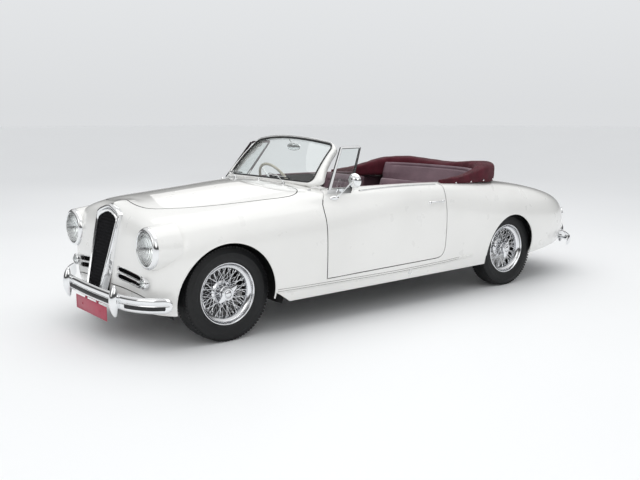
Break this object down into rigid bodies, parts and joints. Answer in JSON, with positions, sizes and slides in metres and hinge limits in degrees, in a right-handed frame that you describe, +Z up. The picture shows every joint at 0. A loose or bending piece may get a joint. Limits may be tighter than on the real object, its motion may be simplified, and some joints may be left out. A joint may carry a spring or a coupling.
{
  "type": "convertible car",
  "caption": "Open two-door touring car of the early 1950s with a folded cloth top, wire wheels, an upright grille and right-hand drive.",
  "frame": {"origin": "on the ground, under the middle of the car's length and width", "axes": "+X forward, +Y to the car's left, +Z up"},
  "size_m": [4.86, 1.6612, 1.3709],
  "materials": {
    "white_paint": "gloss ivory-white coachwork paint",
    "dash_paint": "gloss off-white enamel",
    "chassis_paint": "satin black chassis paint",
    "glass": "clear laminated glass",
    "chrome": "polished chrome plate",
    "lamp_glass": "fluted lamp glass in a chrome rim",
    "red_lens": "red lamp lens",
    "plate_red": "blank red enamel plate",
    "ivory_plastic": "ivory plastic",
    "plum_leather": "plum leather",
    "burgundy_cloth": "burgundy canvas",
    "cast_metal": "cast alloy",
    "steel_pipe": "dull steel pipe",
    "tyre": "black rubber",
    "wheel_chrome": "chromed wire wheel"
  },
  "bodies": {
    "body": {"floor_pan": "chassis_paint", "rear_floor": "chassis_paint", "sill_left": "chassis_paint", "sill_right": "chassis_paint", "fender_left": "white_paint", "fender_right": "white_paint", "cowl": "white_paint", "quarter_left": "white_paint", "quarter_right": "white_paint", "tail_panel": "white_paint", "windscreen_frame": "white_paint", "windscreen_glass": "glass", "grille": "chrome", "headlamp_left": "lamp_glass", "headlamp_right": "lamp_glass", "parking_lamps": "lamp_glass", "front_bumper": "chrome", "rear_bumper": "chrome", "front_plate": "plate_red", "tail_lamps": "red_lens", "dashboard": "dash_paint", "seat_front_left": "plum_leather", "seat_front_right": "plum_leather", "seat_rear": "plum_leather", "top_cover": "burgundy_cloth", "engine_block": "cast_metal", "transaxle": "cast_metal", "front_axle": "chassis_paint", "rear_axle": "chassis_paint", "exhaust": "steel_pipe", "fuel_tank": "chassis_paint"},
    "bonnet": {"bonnet": "white_paint"},
    "boot_lid": {"boot_lid": "white_paint"},
    "door_left": {"door_left": "white_paint", "quarter_light_left": "chrome"},
    "door_right": {"door_right": "white_paint", "quarter_light_right": "chrome"},
    "steering_wheel": {"steering_wheel": "ivory_plastic"},
    "knuckle_left": {"knuckle_left": "chassis_paint"},
    "knuckle_right": {"knuckle_right": "chassis_paint"},
    "wheel_front_left": {"wheel_front_left": "wheel_chrome", "tyre_front_left": "tyre"},
    "wheel_front_right": {"wheel_front_right": "wheel_chrome", "tyre_front_right": "tyre"},
    "wheel_rear_left": {"wheel_rear_left": "wheel_chrome", "tyre_rear_left": "tyre"},
    "wheel_rear_right": {"wheel_rear_right": "wheel_chrome", "tyre_rear_right": "tyre"}
  },
  "joints": [
    {"name": "door_left_hinge", "type": "hinge", "parent": "body", "child": "door_left", "pos_m": [0.9285, 0.802, 0.6], "axis": [0, 0, -1], "range_deg": [0, 65]},
    {"name": "door_right_hinge", "type": "hinge", "parent": "body", "child": "door_right", "pos_m": [0.9285, -0.802, 0.6], "axis": [0, 0, 1], "range_deg": [0, 65]},
    {"name": "bonnet_hinge", "type": "hinge", "parent": "body", "child": "bonnet", "pos_m": [1, 0, 1.0195], "axis": [0, -1, 0], "range_deg": [0, 50]},
    {"name": "boot_hinge", "type": "hinge", "parent": "body", "child": "boot_lid", "pos_m": [-1.3475, 0, 0.92], "axis": [0, 1, 0], "range_deg": [0, 60]},
    {"name": "steer_left", "type": "hinge", "parent": "body", "child": "knuckle_left", "pos_m": [1.72, 0.54, 0.331], "axis": [0, 0, 1], "range_deg": [-30, 30]},
    {"name": "steer_right", "type": "hinge", "parent": "body", "child": "knuckle_right", "pos_m": [1.72, -0.54, 0.331], "axis": [0, 0, 1], "range_deg": [-30, 30]},
    {"name": "steering_wheel_turn", "type": "hinge", "parent": "body", "child": "steering_wheel", "pos_m": [0.55, -0.372, 0.925], "axis": [-0.8829, 0, 0.4695], "range_deg": [-450, 450]},
    {"name": "spin_front_left", "type": "hinge", "parent": "knuckle_left", "child": "wheel_front_left", "pos_m": [1.72, 0.64, 0.331], "axis": [0, 1, 0], "continuous": true},
    {"name": "spin_front_right", "type": "hinge", "parent": "knuckle_right", "child": "wheel_front_right", "pos_m": [1.72, -0.64, 0.331], "axis": [0, 1, 0], "continuous": true},
    {"name": "spin_rear_left", "type": "hinge", "parent": "body", "child": "wheel_rear_left", "pos_m": [-1.19, 0.65, 0.331], "axis": [0, 1, 0], "continuous": true},
    {"name": "spin_rear_right", "type": "hinge", "parent": "body", "child": "wheel_rear_right", "pos_m": [-1.19, -0.65, 0.331], "axis": [0, 1, 0], "continuous": true}
  ],
  "couplings": [
    {"joint": "steer_right", "follows": "steer_left", "ratio": 1},
    {"joint": "steering_wheel_turn", "follows": "steer_left", "ratio": 15}
  ]
}
